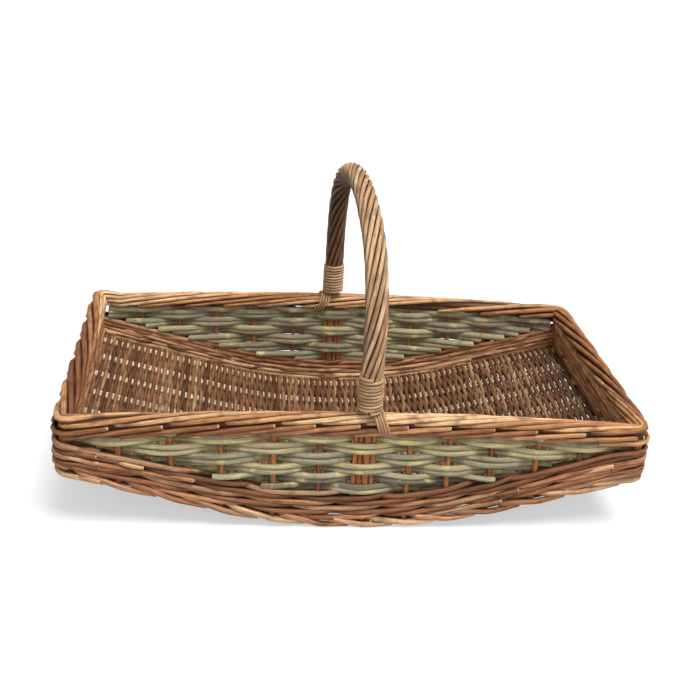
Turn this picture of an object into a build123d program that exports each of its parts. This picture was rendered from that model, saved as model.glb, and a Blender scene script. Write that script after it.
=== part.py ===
from build123d import *
from dataclasses import dataclass
import math
import os

# A willow garden trug: round belly, low woven walls, rolled border and a roped hoop handle.
# Millimetres, +X along the basket, +Z up, origin on the ground under the middle.

# Overall size, over the borders
length = 600
width = 350

# Ground line: a round belly that runs out into straight rises towards the ends
belly_radius = 580
belly_round_half = 145
foot_wear = 0.7

# Gaps between rods that lie beside each other, and between a piece and its seat
rod_clearance = 0.15
seat_gap = 0.3

# Sine under which two directions count as one
same_way = 1e-6

# Rolled border
rim_strands = 8
rim_strand_d = 5.6
rim_roll_radius = 8
end_wall_height = 53
rim_crown = 8.7
rim_corner_radius = 12
rim_long_twist_steps = 9
rim_end_twist_steps = 5
rim_long_spans = 8
rim_end_spans = 5
rim_phase_share = 0.67

# Uprights
stake_d = 5.8
stake_lift = 1.5
post_d = 10
handle_stake_d = 4.6
handle_stake_gap = 0.4
front_stake_shares = (-0.814, -0.638, -0.467, -0.289, -0.131, 0.180, 0.319, 0.469, 0.632, 0.787)
rear_stake_shares = (-0.837, -0.668, -0.507, -0.339, -0.157, 0.173, 0.344, 0.506, 0.662, 0.816)
end_stake_shares = (-0.64, -0.32, 0, 0.32, 0.64)

# Foot strokes round the bottom edge
foot_d = 5.5
foot_upper = 8.5
foot_lower = 2.75
foot_stroke_shares = ((0.32, 1, 0.93), (0.75, 1, 0.38), (1.05, 1, 0.03), (1.5, 0.35, 0))
foot_start_share = 0.1

# Wale: brown rods all round, above the foot
wale_d = 5.2
wale_pitch = 5.4
wale_rows = 5
wale_bottom = 11.5
wale_period = 3

# Green weave: pairs of rods on the long walls, between the wale and the border
green_d = 4.8
green_pitch = 4.9
green_end_gap = 8
green_least_reach = 70
reach_halvings = 40

# Base: fine rods across the floor, over and under lengthwise sticks in pairs
base_top = 17.5
weaver_d = 3.3
weaver_sides = 6
weaver_pitch = 3.5
base_stick_d = 5
base_stick_pair_gap = 1
base_stick_row_shares = (-0.918, -0.612, -0.306, 0, 0.306, 0.612, 0.918)

# Handle: a bow with rods twisted round it, standing a little askew
handle_front_x = 8.5
handle_rear_x = -3.6
bow_d = 11.8
peg_d = 7.2
hoop_top_height = 315.5
hoop_leg_share = 0.417
hoop_haunch_share = 0.873
rope_strands = 10
rope_strand_d = 4.8
rope_tail_d = 3.4
rope_gap = 0.3
rope_pitch = 219
rope_spans_per_turn = 10

# Cane lapping round each leg, and the tie over the border
lap_d = 2.6
lap_pitch = 3.5
lap_turns = 9
tie_d = 2.4
tie_pitch = 3.3
tie_turns = 4
tie_slant = 6

# How the winding's least gap to itself is measured, in diameters along the cane
gap_step_share = 1 / 3
gap_apart_diameters = 4

# Values that follow from these
rim_radius = rim_roll_radius + rim_strand_d / 2
wall_x = length / 2 - rim_radius
wall_y = width / 2 - rim_radius
corner_inset = rim_corner_radius * (1 - math.cos(math.pi / 4))
rise_slope = belly_round_half / math.sqrt(belly_radius**2 - belly_round_half**2)
wale_top = wale_bottom + wale_rows * wale_pitch
tie_radius = rim_radius + seat_gap + tie_d / 2
weave_drop = rim_radius + 2 * seat_gap + tie_d
near_stake = peg_d / 2 + handle_stake_gap + handle_stake_d / 2
far_stake = near_stake + handle_stake_gap + handle_stake_d
handle_stake_offsets = (-far_stake, -near_stake, near_stake)
group_middle = (near_stake - far_stake) / 2
group_radius = (near_stake + far_stake + handle_stake_d) / 2
quarters = 4
quarter = 2 * math.pi / quarters
up = Vector(0, 0, 1)


def belly(x):
    """Height of the basket's underside above the ground."""
    inner = min(abs(x), belly_round_half)
    round_part = belly_radius - math.sqrt(belly_radius**2 - inner**2)
    return round_part + rise_slope * (abs(x) - inner) - foot_wear


rim_end_height = belly(wall_x) + end_wall_height


@dataclass
class Side:
    """One wall, seen from outside: s runs to the right, out points away from the basket."""

    name: str
    turn: float
    away: float
    half: float
    stake_shares: tuple
    handle_s: float = None

    @property
    def is_long(self):
        return self.handle_s is not None

    @property
    def twist_steps(self):
        return rim_long_twist_steps if self.is_long else rim_end_twist_steps

    @property
    def twist_spans(self):
        return rim_long_spans if self.is_long else rim_end_spans

    @property
    def post_s(self):
        return self.half - corner_inset

    @property
    def stakes(self):
        return [share * self.half for share in self.stake_shares]

    def point(self, s, out, z):
        return Vector(s, -(self.away + out), z).rotate(Axis.Z, self.turn)

    def heading(self, s, out, z):
        return Vector(s, -out, z).rotate(Axis.Z, self.turn).normalized()

    def ground(self, s):
        return belly(s) if self.is_long else belly(self.away)

    def rim_line(self, s):
        if not self.is_long:
            return rim_end_height
        share = s / (self.half - rim_corner_radius)
        return rim_end_height + rim_crown * max(1 - share**2, 0)

    def anchors(self):
        """Each upright from corner to corner, the handle's group as one: its place and radius."""
        places = [(s, stake_d / 2) for s in self.stakes]
        if self.is_long:
            places.append((self.handle_s + group_middle, group_radius))
        places += [(-self.post_s, post_d / 2), (self.post_s, post_d / 2)]
        return sorted(places)

    def weave_points(self):
        """What a rod goes round between the corners: its place and half thickness."""
        places = [(s, stake_d / 2) for s in self.stakes]
        if self.is_long:
            places.append((self.handle_s + group_middle, peg_d / 2))
        return sorted(places)


front = Side("front", 0, wall_y, wall_x, front_stake_shares, handle_front_x)
rear = Side("rear", 180, wall_y, wall_x, rear_stake_shares, -handle_rear_x)
right = Side("right_end", 90, wall_x, wall_y, end_stake_shares)
left = Side("left_end", 270, wall_x, wall_y, end_stake_shares)
long_sides = (front, rear)
end_sides = (left, right)


def arc_or_line(start, heading, end):
    chord = (end - start).normalized()
    if chord.cross(heading).length < same_way:
        return Edge.make_line(start, end)
    return Edge.make_tangent_arc(start, heading, end)


def biarc(start, start_heading, end, end_heading):
    """Two tangent arcs that leave start and reach end in the given directions."""
    chord = end - start
    both = start_heading + end_heading
    bend = 2 * (1 - start_heading.dot(end_heading))
    along = chord.dot(both)
    if bend < same_way**2:
        reach = chord.dot(chord) / (2 * along)
    else:
        reach = (math.sqrt(along**2 + bend * chord.dot(chord)) - along) / bend
    first_corner = start + start_heading * reach
    last_corner = end - end_heading * reach
    middle = (first_corner + last_corner) / 2
    middle_heading = (last_corner - first_corner).normalized()
    return [arc_or_line(start, start_heading, middle), arc_or_line(middle, middle_heading, end)]


def smooth_edges(points, headings):
    edges = []
    for i in range(len(points) - 1):
        edges += biarc(points[i], headings[i], points[i + 1], headings[i + 1])
    return edges


def tube(path, diameter):
    section = Plane(origin=path @ 0, z_dir=path % 0) * Circle(diameter / 2)
    return sweep(section, path=path)


def rod(side, stations, diameter, first=None, last=None):
    """A rod along a wall through its stations (s, out, z), flat to the wall at each one between."""
    points = [side.point(*station) for station in stations]
    headings = []
    for i in range(len(stations)):
        before = stations[max(i - 1, 0)]
        after = stations[min(i + 1, len(stations) - 1)]
        is_end = i in (0, len(stations) - 1)
        turn_out = after[1] - before[1] if is_end else 0
        headings.append(side.heading(after[0] - before[0], turn_out, after[2] - before[2]))
    if first:
        headings[0] = side.heading(*first)
    if last:
        headings[-1] = side.heading(*last)
    return tube(Wire(smooth_edges(points, headings)), diameter)


def upright(side, s, out, low, high, diameter):
    base = side.point(s, out, low)
    return Pos(base) * Cylinder(diameter / 2, high - low, align=(Align.CENTER, Align.CENTER, Align.MIN))


def stake(side, s, diameter):
    low = side.ground(s) + stake_lift
    high = side.rim_line(s) - rim_radius - seat_gap
    return upright(side, s, 0, low, high, diameter)


def corner_post(side, s):
    low = side.ground(side.half) + stake_lift
    high = rim_end_height - rim_radius - seat_gap
    return upright(side, s, -corner_inset, low, high, post_d)


def wale_rod(side, row):
    """A brown rod in front of two stakes and behind the next, bent round both corner posts."""
    height = wale_bottom + (row + 0.5) * wale_pitch
    wrap = post_d / 2 + rod_clearance + wale_d / 2
    corner_z = side.ground(side.half) + height
    stations = []
    for i, (s, thickness) in enumerate(side.weave_points()):
        swing = thickness + rod_clearance + wale_d / 2
        inside = (i + row) % wale_period == 0
        stations.append((s, -swing if inside else swing, side.ground(s) + height))
    if not side.is_long:
        end_s = side.post_s - seat_gap
        out = wrap - corner_inset
        stations = [(-end_s, out, corner_z)] + stations + [(end_s, out, corner_z)]
        return rod(side, stations, wale_d, (1, 0, 0), (1, 0, 0))
    post = side.post_s
    post_z = side.ground(post) + height
    outer = [(-post - wrap, -corner_inset, corner_z), (-post, wrap - corner_inset, post_z)]
    stations = outer + stations + [(-s, out, z) for s, out, z in reversed(outer)]
    return rod(side, stations, wale_d, (0, 1, 0), (0, -1, 0))


def lens_reach(side, drop):
    """How far from the middle a green rod runs before it meets the wale."""
    low, high = 0, side.post_s
    for _ in range(reach_halvings):
        middle = (low + high) / 2
        room = side.rim_line(middle) - drop - green_d / 2 - side.ground(middle) - wale_top
        if room > seat_gap:
            low = middle
        else:
            high = middle
    return low


def green_rod(side, number):
    """One rod of a pair: rows alternate in front of and behind each upright."""
    row = number // 2
    drop = weave_drop + (number + 0.5) * green_pitch
    reach = lens_reach(side, drop)
    places = side.weave_points()
    middle = [s for s, _ in places].index(side.handle_s + group_middle)
    swings = []
    for i, (s, thickness) in enumerate(places):
        swing = thickness + rod_clearance + green_d / 2
        swings.append((s, swing if (row + i - middle) % 2 else -swing))
    kept = [swing for swing in swings if abs(swing[0]) < reach - green_end_gap]
    ends = []
    for towards, nearest in ((-1, kept[0]), (1, kept[-1])):
        beyond = [s for s, _ in swings if s * towards > nearest[0] * towards]
        limit = min([s * towards for s in beyond], default=side.post_s)
        stop = min(reach, limit - green_end_gap)
        share = (stop - nearest[0] * towards) / (limit - nearest[0] * towards)
        ends.append((stop * towards, nearest[1] * (1 - 2 * share)))
    places = [ends[0]] + kept + [ends[1]]
    stations = [(s, out, side.rim_line(s) - drop) for s, out in places]
    return rod(side, stations, green_d)


def green_weave(side):
    """Green rods from the border down, for as long as they reach past the handle's neighbours."""
    rods = []
    while lens_reach(side, weave_drop + (len(rods) + 0.5) * green_pitch) > green_least_reach:
        rods.append(green_rod(side, len(rods)))
    return rods


def foot_strokes(side):
    """Short rods that start behind an upright, come out and run down to the bottom edge."""
    places = side.anchors()
    swing = stake_d / 2 + rod_clearance + foot_d / 2
    strokes = []
    for i in range(len(places) - 1):
        s, radius = places[i]
        begin = s + radius + foot_d / 2 + seat_gap
        stations = [(begin, swing * foot_start_share, side.ground(begin) + foot_upper)]
        for run_share, out_share, height_share in foot_stroke_shares:
            whole = int(run_share)
            if i + whole + 1 >= len(places):
                break
            base = places[i + whole][0] if whole else begin
            after = places[i + whole + 1][0]
            place = base + (run_share - whole) * (after - base)
            height = foot_lower + height_share * (foot_upper - foot_lower)
            stations.append((place, swing * out_share, side.ground(place) + height))
        stroke = rod(side, stations, foot_d)
        if stroke.bounding_box().min.Z < 0:
            stroke = split(stroke, Plane.XY, keep=Keep.TOP)
        strokes.append(stroke)
    return strokes


def rim_strand(side, number):
    """A border rod that rolls along the wall, on a long wall also round both corners."""
    step = 2 * math.pi / rim_strands
    turn_rate = -side.twist_steps * step
    straight = side.half - rim_corner_radius
    start = straight if side.is_long else straight - seat_gap
    points = []
    headings = []
    for i in range(side.twist_spans + 1):
        share = i / side.twist_spans
        s = start * (2 * share - 1)
        angle = (number + rim_phase_share) * step + turn_rate * share
        out = rim_roll_radius * math.sin(angle)
        lift = rim_roll_radius * math.cos(angle)
        points.append(side.point(s, out, side.rim_line(s) + lift))
        if i in (0, side.twist_spans):
            headings.append(side.heading(1, 0, 0))
            continue
        rate = turn_rate / (2 * start)
        crown_slope = -2 * rim_crown * s / straight**2 if side.is_long else 0
        headings.append(side.heading(1, lift * rate, crown_slope - out * rate))
    if side.is_long:
        for towards in (-1, 1):
            share = 0 if towards < 0 else 1
            angle = (number + rim_phase_share) * step + turn_rate * share
            out = rim_roll_radius * math.sin(angle)
            z = rim_end_height + rim_roll_radius * math.cos(angle)
            bend = rim_corner_radius + out
            corner = side.point(towards * (straight + bend), -rim_corner_radius, z)
            place = 0 if towards < 0 else len(points)
            points.insert(place, corner)
            headings.insert(place, side.heading(0, -towards, 0))
    return tube(Wire(smooth_edges(points, headings)), rim_strand_d)


def rim(side):
    """All strands of one wall's border, parted where the handle goes down through them."""
    strands = [rim_strand(side, number) for number in range(rim_strands)]
    if not side.is_long:
        return strands
    z = side.rim_line(side.handle_s)
    hole_d = peg_d + 2 * seat_gap
    hole = upright(side, side.handle_s, 0, z - 2 * rim_radius, z + 2 * rim_radius, hole_d)
    parted = []
    for strand in strands:
        parted += (strand - hole).solids()
    return parted


def belly_edges(half, y, height):
    """The belly line from end to end at one height, as a line, an arc and a line."""
    edge_z = belly(half) + height
    round_z = belly(belly_round_half) + height
    ends = [Vector(-half, y, edge_z), Vector(-belly_round_half, y, round_z)]
    ends += [Vector(belly_round_half, y, round_z), Vector(half, y, edge_z)]
    return [
        Edge.make_line(ends[0], ends[1]),
        Edge.make_three_point_arc(ends[1], Vector(0, y, belly(0) + height), ends[2]),
        Edge.make_line(ends[2], ends[3]),
    ]


base_half_x = wall_x - stake_d / 2 - rod_clearance - wale_d - seat_gap
base_half_y = wall_y - stake_d / 2 - rod_clearance - wale_d - seat_gap
base_level = base_top - weaver_d - rod_clearance - base_stick_d / 2
base_stick_offset = (base_stick_d + base_stick_pair_gap) / 2
weaver_swing = (base_stick_d + weaver_d) / 2 + rod_clearance


def base_stick(y):
    return tube(Wire(belly_edges(base_half_x, y, base_level)), base_stick_d)


def floor_rod(first_way):
    """A fine rod across the floor, over one pair of sticks and under the next, with few faces."""
    points = [Vector(0, -base_half_y, 0)]
    for row, row_share in enumerate(base_stick_row_shares):
        way = -first_way if row % 2 else first_way
        points.append(Vector(0, row_share * base_half_y, way * weaver_swing))
    points.append(Vector(0, base_half_y, 0))
    across = Vector(0, 1, 0)
    path = Wire(smooth_edges(points, [across] * len(points)))
    start = Plane(origin=points[0], x_dir=(1, 0, 0), z_dir=across)
    return sweep(start * RegularPolygon(weaver_d / 2, weaver_sides), path=path)


def base_weave():
    """Fine rods side by side along the belly, each over the sticks that its neighbours go under."""
    half = base_half_x - weaver_d / 2 - rise_slope * weaver_swing
    line = Wire(belly_edges(half, 0, base_level))
    count = round(line.length / weaver_pitch)
    over_first, under_first = floor_rod(1), floor_rod(-1)
    rods = []
    for i in range(count + 1):
        heading = line % (i / count)
        lean = -math.degrees(math.atan2(heading.Z, heading.X))
        shape = under_first if i % 2 else over_first
        rods.append(Location(line @ (i / count), (0, lean, 0)) * shape)
    return rods


# The handle's hoop: straight legs, two haunch arcs and a flatter crown arc
front_leg = front.point(front.handle_s, 0, 0)
rear_leg = rear.point(rear.handle_s, 0, 0)
hoop_middle = (front_leg + rear_leg) / 2
hoop_across = (rear_leg - front_leg).normalized()
hoop_half = (rear_leg - front_leg).length / 2
rim_top = front.rim_line(front.handle_s) + rim_radius
hoop_spring_height = rim_top + (hoop_top_height - rim_top) * hoop_leg_share
hoop_rise = hoop_top_height - hoop_spring_height
hoop_haunch_radius = hoop_haunch_share * hoop_rise
haunch_middle = hoop_half - hoop_haunch_radius
crown_radius = (hoop_half**2 + hoop_rise**2 - 2 * hoop_half * hoop_haunch_radius) / (
    2 * (hoop_rise - hoop_haunch_radius)
)
crown_drop = crown_radius - hoop_rise
haunch_angle = math.atan2(crown_drop, haunch_middle)

lap_low = rim_top + tie_d + 2 * seat_gap
lap_high = lap_low + lap_turns * lap_pitch + lap_d
rope_low = lap_high + seat_gap
bow_radius = bow_d / 2
rope_radius = bow_radius + rope_gap + rope_strand_d / 2
tail_radius = bow_radius + 2 * rope_gap + rope_tail_d / 2
lap_radius = tail_radius + rope_tail_d / 2 + seat_gap + lap_d / 2


def hoop_point(across, z):
    return hoop_middle + hoop_across * across + up * z


def hoop_stretches():
    """Each stretch of the hoop from the front leg on: length, turn at its start, radius, centre."""
    leg = hoop_spring_height - rope_low
    haunch = haunch_angle * hoop_haunch_radius
    crown = (math.pi - 2 * haunch_angle) * crown_radius
    return (
        (leg, 0, None, (-hoop_half, rope_low)),
        (haunch, 0, hoop_haunch_radius, (-haunch_middle, hoop_spring_height)),
        (crown, haunch_angle, crown_radius, (0, hoop_spring_height - crown_drop)),
        (haunch, math.pi - haunch_angle, hoop_haunch_radius, (haunch_middle, hoop_spring_height)),
        (leg, math.pi, None, (hoop_half, hoop_spring_height)),
    )


def hoop_at(travel):
    """Centre, direction, outward normal and curvature of the hoop at a distance along it."""
    stretches = hoop_stretches()
    for place, (stretch, turn, radius, centre) in enumerate(stretches, 1):
        if travel <= stretch or place == len(stretches):
            break
        travel -= stretch
    angle = turn + travel / radius if radius else turn
    outward = hoop_across * -math.cos(angle) + up * math.sin(angle)
    along = hoop_across * math.sin(angle) + up * math.cos(angle)
    middle = hoop_point(*centre)
    if radius:
        return middle + outward * radius, along, outward, 1 / radius
    return middle + along * travel, along, outward, 0


def handle_bow():
    """The hoop's core, stepped down to a peg where it goes through the border into the wall."""
    legs = (-hoop_half, hoop_half)
    feet = [hoop_point(across, lap_low) for across in legs]
    springs = [hoop_point(across, hoop_spring_height) for across in legs]
    joins = [hoop_at(sum(s[0] for s in hoop_stretches()[:count]))[0] for count in (2, 3)]
    edges = [Edge.make_line(feet[0], springs[0])]
    edges.append(Edge.make_tangent_arc(springs[0], up, joins[0]))
    edges.append(Edge.make_three_point_arc(joins[0], hoop_point(0, hoop_top_height), joins[1]))
    edges.append(Edge.make_tangent_arc(joins[1], edges[-1] % 1, springs[1]))
    edges.append(Edge.make_line(springs[1], feet[1]))
    bow = tube(Wire(edges), bow_d)
    for side in long_sides:
        low = side.ground(side.handle_s) + wale_bottom
        bow = bow + upright(side, side.handle_s, 0, low, lap_low + bow_radius, peg_d)
    return bow


def rope_strand(number):
    """One rod twisted round the bow, thinned at both ends where the lapping covers it."""
    total = sum(stretch[0] for stretch in hoop_stretches())
    spans = round(total / rope_pitch * rope_spans_per_turn)
    points = []
    headings = []
    for i in range(spans + 1):
        travel = total * i / spans
        centre, along, outward, curvature = hoop_at(travel)
        across = along.cross(outward)
        rate = 2 * math.pi / rope_pitch
        angle = 2 * math.pi * number / rope_strands + rate * travel
        radial = outward * math.cos(angle) + across * math.sin(angle)
        swirl = across * math.cos(angle) - outward * math.sin(angle)
        points.append(centre + radial * rope_radius)
        forward = along * (1 + rope_radius * math.cos(angle) * curvature)
        heading = forward + swirl * (rope_radius * rate)
        headings.append(along if i in (0, spans) else heading.normalized())
    strand = tube(Wire(smooth_edges(points, headings)), rope_strand_d)
    for point, leg in ((points[0], -hoop_half), (points[-1], hoop_half)):
        axis = hoop_point(leg, rope_low)
        tail_top = axis + (point - axis).normalized() * tail_radius
        hanging = (Align.CENTER, Align.CENTER, Align.MAX)
        strand = strand + Pos(tail_top) * Cylinder(rope_tail_d / 2, rope_low - lap_low, align=hanging)
    return strand


def wound_tube(points, headings, diameter, name):
    """A winding as one unbroken tube whose ends run straight for one diameter."""
    edges = [Edge.make_line(points[0] - headings[0] * diameter, points[0])]
    edges += smooth_edges(points, headings)
    edges.append(Edge.make_line(points[-1], points[-1] + headings[-1] * diameter))
    path = Wire(edges)
    print(name, "least gap to itself", round(least_gap(path, diameter), 2), "mm")
    return tube(path, diameter)


def least_gap(path, diameter):
    """Least gap between stretches of a wound tube that lie well apart along it."""
    step = diameter * gap_step_share
    count = int(path.length / step)
    samples = [path @ (i / count) for i in range(count + 1)]
    apart = math.ceil(gap_apart_diameters * diameter / step)
    least = min(
        (samples[i] - samples[j]).length
        for i in range(count + 1)
        for j in range(i + apart, count + 1)
    )
    return least - diameter


def lapping(side):
    """Cane wound round a handle leg, from the border up."""
    points = []
    headings = []
    for i in range(quarters * lap_turns + 1):
        angle = i * quarter
        z = lap_low + lap_d / 2 + lap_pitch * i / quarters
        s = side.handle_s + lap_radius * math.sin(angle)
        out = lap_radius * math.cos(angle)
        points.append(side.point(s, out, z))
        rise = lap_pitch / (2 * math.pi)
        headings.append(side.heading(out, side.handle_s - s, rise))
    return wound_tube(points, headings, lap_d, side.name + " lapping")


def border_tie(side):
    """Cane taken round the border beside the handle, slanting down and away from it."""
    rim_z = side.rim_line(side.handle_s)
    first_s = side.handle_s + peg_d / 2 + seat_gap + tie_d / 2 + tie_slant / 2
    points = []
    headings = []
    for i in range(quarters * tie_turns + 1):
        angle = (i - 1) * quarter
        s = first_s + tie_pitch * i / quarters - tie_slant / 2 * math.cos(angle)
        out = tie_radius * math.sin(angle)
        lift = tie_radius * math.cos(angle)
        points.append(side.point(s, out, rim_z + lift))
        drift = tie_pitch / (2 * math.pi) + tie_slant / 2 * math.sin(angle)
        headings.append(side.heading(drift, lift, -out))
    return wound_tube(points, headings, tie_d, side.name + " tie")


def all_nodes():
    """Every node's name and solids."""
    nodes = {"handle_bow": [handle_bow()]}
    nodes["handle_roping"] = [rope_strand(number) for number in range(rope_strands)]
    nodes["base_weave"] = base_weave()
    for number, row_share in enumerate(base_stick_row_shares, 1):
        middle = row_share * base_half_y
        sticks = [base_stick(middle - base_stick_offset), base_stick(middle + base_stick_offset)]
        nodes[f"base_stick_pair_{number}"] = sticks
    for side in long_sides:
        nodes[side.name + "_lapping"] = [lapping(side)]
        nodes[side.name + "_tie"] = [border_tie(side)]
        for number, s in enumerate(side.stakes, 1):
            nodes[f"{side.name}_stake_{number}"] = [stake(side, s, stake_d)]
        extra = [stake(side, side.handle_s + offset, handle_stake_d) for offset in handle_stake_offsets]
        nodes[side.name + "_handle_stakes"] = extra
        nodes[side.name + "_green_weave"] = green_weave(side)
        for s in (-side.post_s, side.post_s):
            hand = "left" if side.point(s, 0, 0).X < 0 else "right"
            nodes[f"{side.name}_{hand}_post"] = [corner_post(side, s)]
    for side in end_sides:
        nodes[side.name + "_stakes"] = [stake(side, s, stake_d) for s in side.stakes]
    for side in long_sides + end_sides:
        nodes[side.name + "_wale"] = [wale_rod(side, row) for row in range(wale_rows)]
        nodes[side.name + "_rim"] = rim(side)
        nodes[side.name + "_foot"] = foot_strokes(side)
    return nodes


os.makedirs("parts", exist_ok=True)
for name, pieces in all_nodes().items():
    solids = [solid for piece in pieces for solid in piece.solids()]
    export_step(Compound(children=solids), f"parts/{name}.step")
    print(name, len(solids), "solids")
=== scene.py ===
import math
import random
import bpy
from mathutils import Matrix, Vector, noise


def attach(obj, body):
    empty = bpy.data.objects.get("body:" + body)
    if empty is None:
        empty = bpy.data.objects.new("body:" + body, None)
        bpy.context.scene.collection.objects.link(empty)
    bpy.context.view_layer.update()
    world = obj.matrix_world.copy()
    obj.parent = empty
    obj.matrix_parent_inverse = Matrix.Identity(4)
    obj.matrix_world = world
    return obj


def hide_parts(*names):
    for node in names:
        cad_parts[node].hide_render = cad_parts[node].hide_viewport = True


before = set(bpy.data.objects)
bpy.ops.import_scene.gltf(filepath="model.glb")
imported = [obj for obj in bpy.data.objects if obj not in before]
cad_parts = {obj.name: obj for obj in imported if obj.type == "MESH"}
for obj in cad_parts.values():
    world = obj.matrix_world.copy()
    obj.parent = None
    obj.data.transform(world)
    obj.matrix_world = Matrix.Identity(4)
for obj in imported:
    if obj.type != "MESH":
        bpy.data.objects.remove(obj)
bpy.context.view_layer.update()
mm = 0.001

# The basket's own sizes, as the frame has them, in millimetres
basket = {
    "wallX": 289.2, "wallY": 164.2, "cornerRadius": 8, "bellyRadius": 580, "bellyRound": 145,
    "footWear": 0.7, "endWall": 53, "rimCrown": 8.7, "rimRadius": 10.8, "cornerPeak": 4.5,
    "peakOnEnd": 60, "peakOnSide": 18, "handleFrontX": 8.5, "handleRearX": -3.6,
}
stakeShares = {
    "front": (-0.814, -0.638, -0.467, -0.289, -0.131, 0.180, 0.319, 0.469, 0.632, 0.787),
    "rear": (-0.837, -0.668, -0.507, -0.339, -0.157, 0.173, 0.344, 0.506, 0.662, 0.816),
    "end": (-0.64, -0.32, 0, 0.32, 0.64),
}


def addObject(name, data):
    thing = bpy.data.objects.new(name, data)
    bpy.context.scene.collection.objects.link(thing)
    return thing


# Camera, fitted to the photograph
def addCamera():
    view = {
        "place": (-129.19, -1143.41, 619.68), "yaw": 0.1161, "pitch": 0.4078, "roll": 0.0689,
        "focalPixels": 1123.8, "frame": 700, "sensor": 36, "clipEnd": 50,
    }
    yaw, pitch, roll = view["yaw"], view["pitch"], view["roll"]
    ahead = Vector((math.sin(yaw) * math.cos(pitch), math.cos(yaw) * math.cos(pitch), -math.sin(pitch)))
    level = Vector((math.cos(yaw), -math.sin(yaw), 0))
    above = level.cross(ahead)
    right = level * math.cos(roll) + above * math.sin(roll)
    up = above * math.cos(roll) - level * math.sin(roll)
    camera = addObject("camera", bpy.data.cameras.new("camera"))
    camera.data.sensor_width = view["sensor"]
    camera.data.lens = view["focalPixels"] * view["sensor"] / view["frame"]
    camera.data.clip_end = view["clipEnd"]
    turned = Matrix((right, up, -ahead)).transposed().to_4x4()
    turned.translation = [c * mm for c in view["place"]]
    camera.matrix_world = turned
    bpy.context.scene.camera = camera


# Places on the walls: s runs round the basket from the front left corner, seen from outside to the right
straightX = 2 * (basket["wallX"] - basket["cornerRadius"])
straightY = 2 * (basket["wallY"] - basket["cornerRadius"])
cornerRun = basket["cornerRadius"] * math.pi / 2
around = 2 * (straightX + straightY) + 4 * cornerRun
sideStart = {
    "front": 0, "right": straightX + cornerRun, "rear": straightX + straightY + 2 * cornerRun,
    "left": 2 * straightX + straightY + 3 * cornerRun,
}
sideHalf = {"front": straightX / 2, "right": straightY / 2, "rear": straightX / 2, "left": straightY / 2}
cornerPlace = {
    ("front", "left"): around - cornerRun / 2,
    ("front", "right"): straightX + cornerRun / 2,
    ("rear", "right"): sideStart["rear"] - cornerRun / 2,
    ("rear", "left"): sideStart["left"] - cornerRun / 2,
}
handlePlace = {
    "front": sideStart["front"] + sideHalf["front"] + basket["handleFrontX"],
    "rear": sideStart["rear"] + sideHalf["rear"] - basket["handleRearX"],
}


# Point on the walls' middle line, and the direction out of the basket
def wallFrame(s):
    s = s % around
    corner = basket["cornerRadius"]
    centreX, centreY = basket["wallX"] - corner, basket["wallY"] - corner
    starts = ((-centreX, -centreY), (centreX, -centreY), (centreX, centreY), (-centreX, centreY))
    for side, run in enumerate((straightX, straightY, straightX, straightY)):
        turn = side * math.pi / 2
        outward = Vector((math.sin(turn), -math.cos(turn), 0))
        along = Vector((math.cos(turn), math.sin(turn), 0))
        begin = Vector((*starts[side], 0)) + outward * corner
        if s <= run:
            return begin + along * s, outward
        s -= run
        if s <= cornerRun:
            angle = s / corner
            bent = outward * math.cos(angle) + along * math.sin(angle)
            return Vector((*starts[(side + 1) % 4], 0)) + bent * corner, bent
        s -= cornerRun
    return begin + along * run, outward


# Ground line: a round belly that runs out into straight rises
def belly(x):
    inner = min(abs(x), basket["bellyRound"])
    radius = basket["bellyRadius"]
    slope = basket["bellyRound"] / math.sqrt(radius**2 - basket["bellyRound"] ** 2)
    return radius - math.sqrt(radius**2 - inner**2) + slope * (abs(x) - inner) - basket["footWear"]


def groundLine(s):
    return belly(wallFrame(s)[0].x)


rimEnd = belly(basket["wallX"]) + basket["endWall"]


def onEndWall(s):
    return abs(wallFrame(s)[0].x) > straightX / 2


# Height of the border's middle: a crown on the long walls, a peak at the rear left corner
def rimLine(s):
    middle = wallFrame(s)[0]
    onEnd = onEndWall(s)
    toPeak = (middle - Vector((-basket["wallX"], basket["wallY"], 0))).length - basket["cornerRadius"]
    fade = basket["peakOnEnd"] if onEnd else basket["peakOnSide"]
    peak = basket["cornerPeak"] * min(max(1 - toPeak / fade, 0), 1)
    crown = 0 if onEnd else basket["rimCrown"] * (1 - (2 * middle.x / straightX) ** 2)
    return rimEnd + crown + peak


def wallPoint(s, out, z):
    middle, outward = wallFrame(s)
    return middle + outward * out + Vector((0, 0, z))


# Place round the basket of a share of a side's half length
def sidePlace(side, share):
    half = basket["wallX"] if side in ("front", "rear") else basket["wallY"]
    return sideStart[side] + sideHalf[side] + share * half


# Places at even steps along a run, each with its share of it
def evenSteps(begin, run, steps):
    return [(begin + run * i / steps, i / steps) for i in range(steps + 1)]


# The places in the middle of the wall beside a rod's points
def inWall(points):
    corner = basket["cornerRadius"]
    halfX, halfY = basket["wallX"] - corner, basket["wallY"] - corner
    hubs = []
    for point in points:
        near = Vector((min(max(point.x, -halfX), halfX), min(max(point.y, -halfY), halfY), point.z))
        hubs.append(near + (point - near).normalized() * corner)
    return hubs


# Rods: each is a list of points with its radii, tone and distances, and the middle that it lies round
rodInfo = {
    "pointStep": 5, "seedRange": 90, "wanderLength": 42.0, "wanderSeeds": (7.31, 3.17, 11.3),
    "cutBack": 0.35, "bevelFrom": 1, "bevel": 0.55, "leastRun": 1e-6,
}


# A slow wander, as a hand-laid rod has
def wobble(seed, along, size):
    first, second, axisStep = rodInfo["wanderSeeds"]
    shift = []
    for axis in range(3):
        turned = seed + axis * axisStep
        spot = Vector((turned * first, along / rodInfo["wanderLength"], turned * second))
        shift.append(noise.noise(spot) * size)
    return Vector(shift)


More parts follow.
